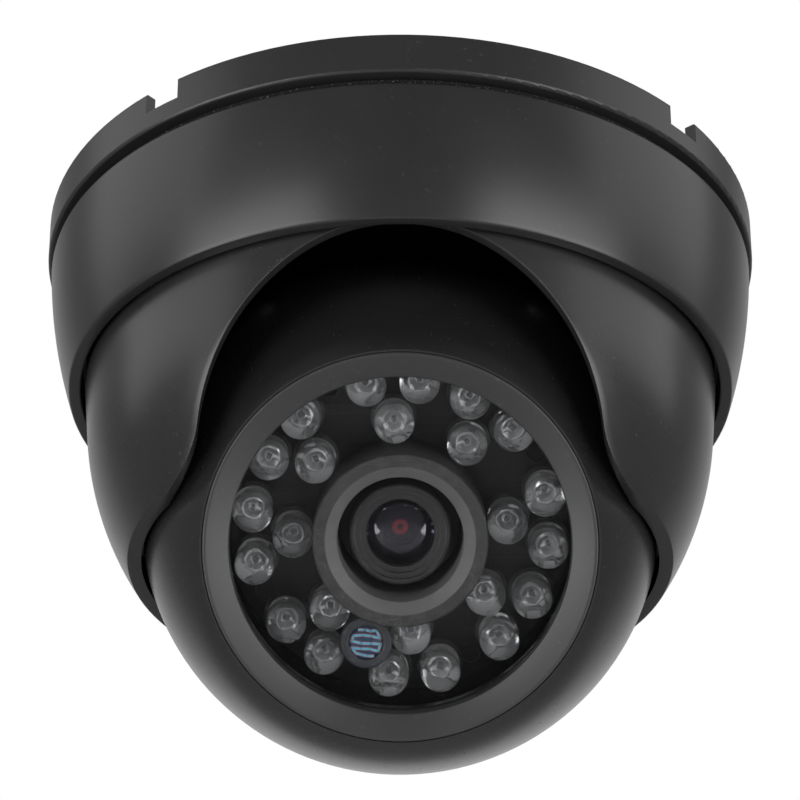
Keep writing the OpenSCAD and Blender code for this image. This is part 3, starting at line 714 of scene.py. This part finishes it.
def makeLeds():
    places = ledPlaces()
    for ring, node in (("outer", "ir_leds_outer"), ("inner", "ir_leds_inner")):
        bodies, frames, dies = bmesh.new(), bmesh.new(), bmesh.new()
        for where, place in places:
            if where == ring:
                addEpoxy(bodies, place)
                addLeadFrame(frames, place)
                addDie(dies, place)
        name = ring.capitalize()
        piece(bodies, "leds" + name, finishes["epoxy"], "module", lensPlace, [node], 35)
        piece(frames, "ledFrames" + name, finishes["leadFrame"], "module", lensPlace)
        piece(dies, "ledDies" + name, finishes["die"], "module", lensPlace)


# The light sensor in its sleeve

lightCell = {"at": 14.0, "clock": 197.5, "radius": 2.1, "top": 9.9, "thick": 2.2, "lead": 0.3,
             "leadAt": 1.27, "sleeveOut": 2.85, "sleeveTop": 3.2, "foot": 1.4, "flare": (6.5, 8.5),
             "runs": 5, "step": 0.8, "edge": 0.46, "line": 0.30, "wobble": 0.16}


def cellPlace():
    clock = math.radians(lightCell["clock"])
    base = span("led_board", lensPlace)[1].z
    at = lightCell["at"]
    return Matrix.Translation((at * math.sin(clock), at * math.cos(clock), base)) @ \
        Matrix.Rotation(math.radians(-8), 4, "Z")


def serpentine():  # a line that runs to and fro across the disc, a little unevenly
    line = []
    c = lightCell
    for k in range(c["runs"]):
        y = (k - (c["runs"] - 1) / 2) * c["step"]
        reach = math.sqrt(max(c["radius"] ** 2 - y ** 2, 0.1)) - 0.3
        ends = (-reach, -reach / 3, reach / 3, reach)
        for x in ends if k % 2 else ends[::-1]:
            line.append((x, y + random.uniform(-c["wobble"], c["wobble"])))
    return line


def trackMesh(line, width, height):
    bm = bmesh.new()
    for (x0, y0), (x1, y1) in zip(line, line[1:]):
        long = math.dist((x0, y0), (x1, y1)) + width * 0.8
        bar = bmesh.ops.create_cube(bm, size=1)["verts"]
        bmesh.ops.scale(bm, vec=(long, width, 0.05), verts=bar)
        bmesh.ops.rotate(bm, matrix=Matrix.Rotation(math.atan2(y1 - y0, x1 - x0), 3, "Z"), verts=bar)
        bmesh.ops.translate(bm, vec=((x0 + x1) / 2, (y0 + y1) / 2, height), verts=bar)
    return bm


def makeLightCell():
    c = lightCell
    place = lensPlace @ Matrix.Scale(mm, 4) @ cellPlace() @ Matrix.Scale(1 / mm, 4)
    top = c["top"]
    bm = bmesh.new()
    turnProfile(bm, [(0, top - c["thick"]), (c["radius"], top - c["thick"]), (c["radius"], top - 0.3),
                     (c["radius"] - 0.25, top - 0.12), (0, top - 0.12)], 48, closed=False)
    sealMesh(bm)
    for side in (-1, 1):
        bmesh.ops.create_cone(bm, cap_ends=True, segments=16, radius1=c["lead"], radius2=c["lead"],
                              depth=top - c["thick"], matrix=Matrix.Translation(
                                  (side * c["leadAt"], 0, (top - c["thick"]) / 2)))
    bmesh.ops.recalc_face_normals(bm, faces=bm.faces)
    piece(bm, "cellDisc", finishes["cellBase"], "module", place, ["ldr_sensor"])
    line = serpentine()
    edges, tracks = trackMesh(line, c["edge"], top - 0.11), trackMesh(line, c["line"], top - 0.08)
    piece(edges, "cellEdges", finishes["cellEdge"], "module", place)
    piece(tracks, "cellTracks", finishes["cellTrack"], "module", place)
    sleeve = bmesh.new()
    outline = [(c["radius"], c["foot"], 0.1), (c["sleeveOut"], c["foot"], 0.2),
               (c["sleeveOut"], c["flare"][0], 1.5), (c["sleeveTop"], c["flare"][1], 1.5),
               (c["sleeveTop"], top + 0.3, 0.3),
               (c["radius"], top + 0.3, 0.3)]
    turnProfile(sleeve, softCorners(outline), 64)
    sealMesh(sleeve)
    piece(sleeve, "cellSleeve", finishes["sleeve"], "module", place, ["ldr_sleeve"])


# The lens, from its rubber hood to the painted glint inside

hood = {"foot": 0.5, "step": (1.3, 1.8), "land": 1.55, "slope": 1.45, "chamfer": 1.1}
barrel = {"iris": 2.4, "thread": 6.0, "head": 6.3, "headLong": 4.0, "steps": (5.6, 4.9), "stepDeep": 0.5,
          "seat": 4.2, "seatDeep": 3.4, "dome": 9.0, "crown": 1.3, "hollow": 1.1,
          "paintedGlint": 1.05, "paintedGlintDeep": 5.2, "baffles": (2.38, 2.0, 1.7, 1.4), "baffleTop": 3.5,
          "baffleLow": 4.9}


def makeHood():
    low, high = span("lens_hood", lensPlace)
    r, z0, z1 = high.x, low.z, high.z
    mouth = r - hood["land"] - hood["slope"]
    profile = [(mouth, z0), (r - hood["foot"], z0), (r - hood["foot"], z0 + hood["step"][0], 0.2),
               (r, z0 + hood["step"][1], 0.2), (r, z1, 0.35), (r - hood["land"], z1, 0.2),
               (mouth, z1 - hood["chamfer"], 0.2)]
    bm = bmesh.new()
    turnProfile(bm, softCorners(profile), 160)
    sealMesh(bm)
    return piece(bm, "lensHood", finishes["hood"], "module", lensPlace, ["lens_hood"])


def makeBarrel():
    b = barrel
    low, high = span("lens_barrel", lensPlace)
    top, foot = high.z, low.z
    deep = b["stepDeep"]
    profile = [(b["iris"], foot), (b["thread"], foot), (b["thread"], top - b["headLong"]),
               (b["head"], top - b["headLong"]), (b["head"], top, 0.3), (b["steps"][0], top, 0.1),
               (b["steps"][0], top - deep, 0.06), (b["steps"][1], top - deep, 0.1),
               (b["steps"][1], top - 2 * deep, 0.06), (b["seat"], top - 2 * deep, 0.1),
               (b["seat"], top - b["seatDeep"]), (b["iris"], top - b["seatDeep"])]
    bm = bmesh.new()
    turnProfile(bm, softCorners(profile, 3), 128)
    sealMesh(bm)
    piece(bm, "lensBarrel", finishes["barrel"], "module", lensPlace, ["lens_barrel"])
    glass = bmesh.new()
    centre = top - b["crown"] - b["dome"]
    rise = math.degrees(math.acos(b["seat"] / b["dome"]))
    hollow = top - b["seatDeep"] + b["hollow"] - b["dome"]
    outline = arcPoints((0, hollow), b["dome"], 90, rise + 4, 12)
    outline += [(outline[-1][0], top - b["seatDeep"]), (b["seat"], top - b["seatDeep"])]
    outline += arcPoints((0, centre), b["dome"], rise, 90, 16)
    turnProfile(glass, outline, 96, closed=False)
    sealMesh(glass)
    piece(glass, "frontGlass", finishes["lens"], "module", lensPlace, ["lens_front_glass"])
    funnel = bmesh.new()
    drop = (b["baffleLow"] - b["baffleTop"]) / (len(b["baffles"]) - 1)
    rings = [(b["baffles"][0], top - b["paintedGlintDeep"])]
    for k, r in enumerate(b["baffles"]):
        height = top - b["baffleTop"] - k * drop
        rings += [(r, height), (r - 0.32, height)]
    rings.append((b["paintedGlint"], top - b["paintedGlintDeep"]))
    turnProfile(funnel, rings, 64)
    sealMesh(funnel)
    piece(funnel, "lensBaffles", finishes["inner"], "module", lensPlace)
    # a glowing disc deep in the lens: a painted reflection
    paintedGlint = bmesh.new()
    depth = top - b["paintedGlintDeep"]
    turnProfile(paintedGlint, [(0, depth), (b["paintedGlint"], depth), (b["paintedGlint"], depth - 0.2), (0, depth - 0.2)], 48,
                closed=False)
    sealMesh(paintedGlint)
    piece(paintedGlint, "paintedIrisGlint", finishes["paintedGlint"], "module", lensPlace)


# The foam in the groove under the base

def makeGasket():
    low, high = span("base_gasket")
    inner = high.x - 1.5
    profile = [(inner, low.z, 0.2), (high.x, low.z, 0.35), (high.x, high.z, 0.2), (inner, high.z, 0.1)]
    bm = bmesh.new()
    turnProfile(bm, softCorners(profile, 5), 512)
    sealMesh(bm)
    return piece(bm, "foamGasket", finishes["foam"], "base", replaces=["base_gasket"])


# CAD nodes that keep their own mesh and get a finish

nodeFinishes = {
    "base": ["mount_base"], "rubber": ["cable_grommet", "pan_friction_ring", "window_seal"],
    "pin": ["trunnion_pins"], "washer": ["tilt_washers"], "ball": ["eyeball_front", "eyeball_rear"],
    "screw": ["eyeball_screws", "holder_screws", "board_screws"], "inner": ["module_carrier", "lens_holder"],
    "ledBoard": ["led_board"], "lens": ["lens_rear_glass"], "filter": ["ir_cut_filter"],
    "ceramic": ["image_sensor"], "sensorBoard": ["sensor_board"], "brass": ["board_standoffs"],
    "nylon": ["led_connector", "power_connector"],
}


def dressNodes():
    for finish, nodes in nodeFinishes.items():
        for name in nodes:
            mesh = frame["nodes"][name].data
            mesh.materials.clear()
            mesh.materials.append(finishes[finish])


def makeWorld():  # white where the camera sees it, and a light that is bright only behind the part
    f = Finish("studio", bpy.data.worlds)
    bpy.context.scene.world = f.material
    ahead = f.node("SeparateXYZ", {}, {"Vector": f.node("TexCoord", output="Generated")}, "Y")
    near, far = studio["fade"]
    lit = f.node("MapRange", {"clamp": True}, {"Value": ahead, "From Min": near, "From Max": far,
                                               "To Min": studio["front"], "To Max": studio["behind"]})
    seen = f.node("LightPath", output="Is Camera Ray")
    strength = f.node("Mix", {"data_type": "FLOAT"}, {0: seen, 2: lit, 3: studio["camera"]})
    back = f.node("Background", {}, {"Color": grey(1), "Strength": strength})
    f.node("OutputWorld", {}, {"Surface": back})


def makeFloor():
    bm = bmesh.new()
    bmesh.ops.create_grid(bm, x_segments=1, y_segments=1, size=studio["floorSize"] / 2)
    bmesh.ops.translate(bm, vec=(0, 0, -studio["floorDrop"]), verts=bm.verts)
    mesh = bpy.data.meshes.new("floor")
    bm.to_mesh(mesh)
    bm.free()
    f = Finish("paleFloor")
    at = f.spot()
    cloud = f.noise(at, 400, 3, 0.5)
    mesh.materials.append(f.shader({"Base Color": f.mix(cloud, grey(0.62), grey(0.68)), "Roughness": 0.7}))
    floor = bpy.data.objects.new("floor", mesh)
    bpy.context.scene.collection.objects.link(floor)


bpy.context.scene.view_settings.view_transform = "Standard"
makeCamera()
makeWorld()
for box in softboxes:
    makeSoftbox(box)
makeFloor()
print("camera, lights and floor made")

finishes = makeFinishes()
dressNodes()
print("finishes made:", len(finishes))

makeBell()
makeTurret()
makeGasket()
print("housing made")

makeBezel()
makeWindowPane()
makeLeds()
makeLightCell()
makeHood()
makeBarrel()
print("eyeball and camera module made")
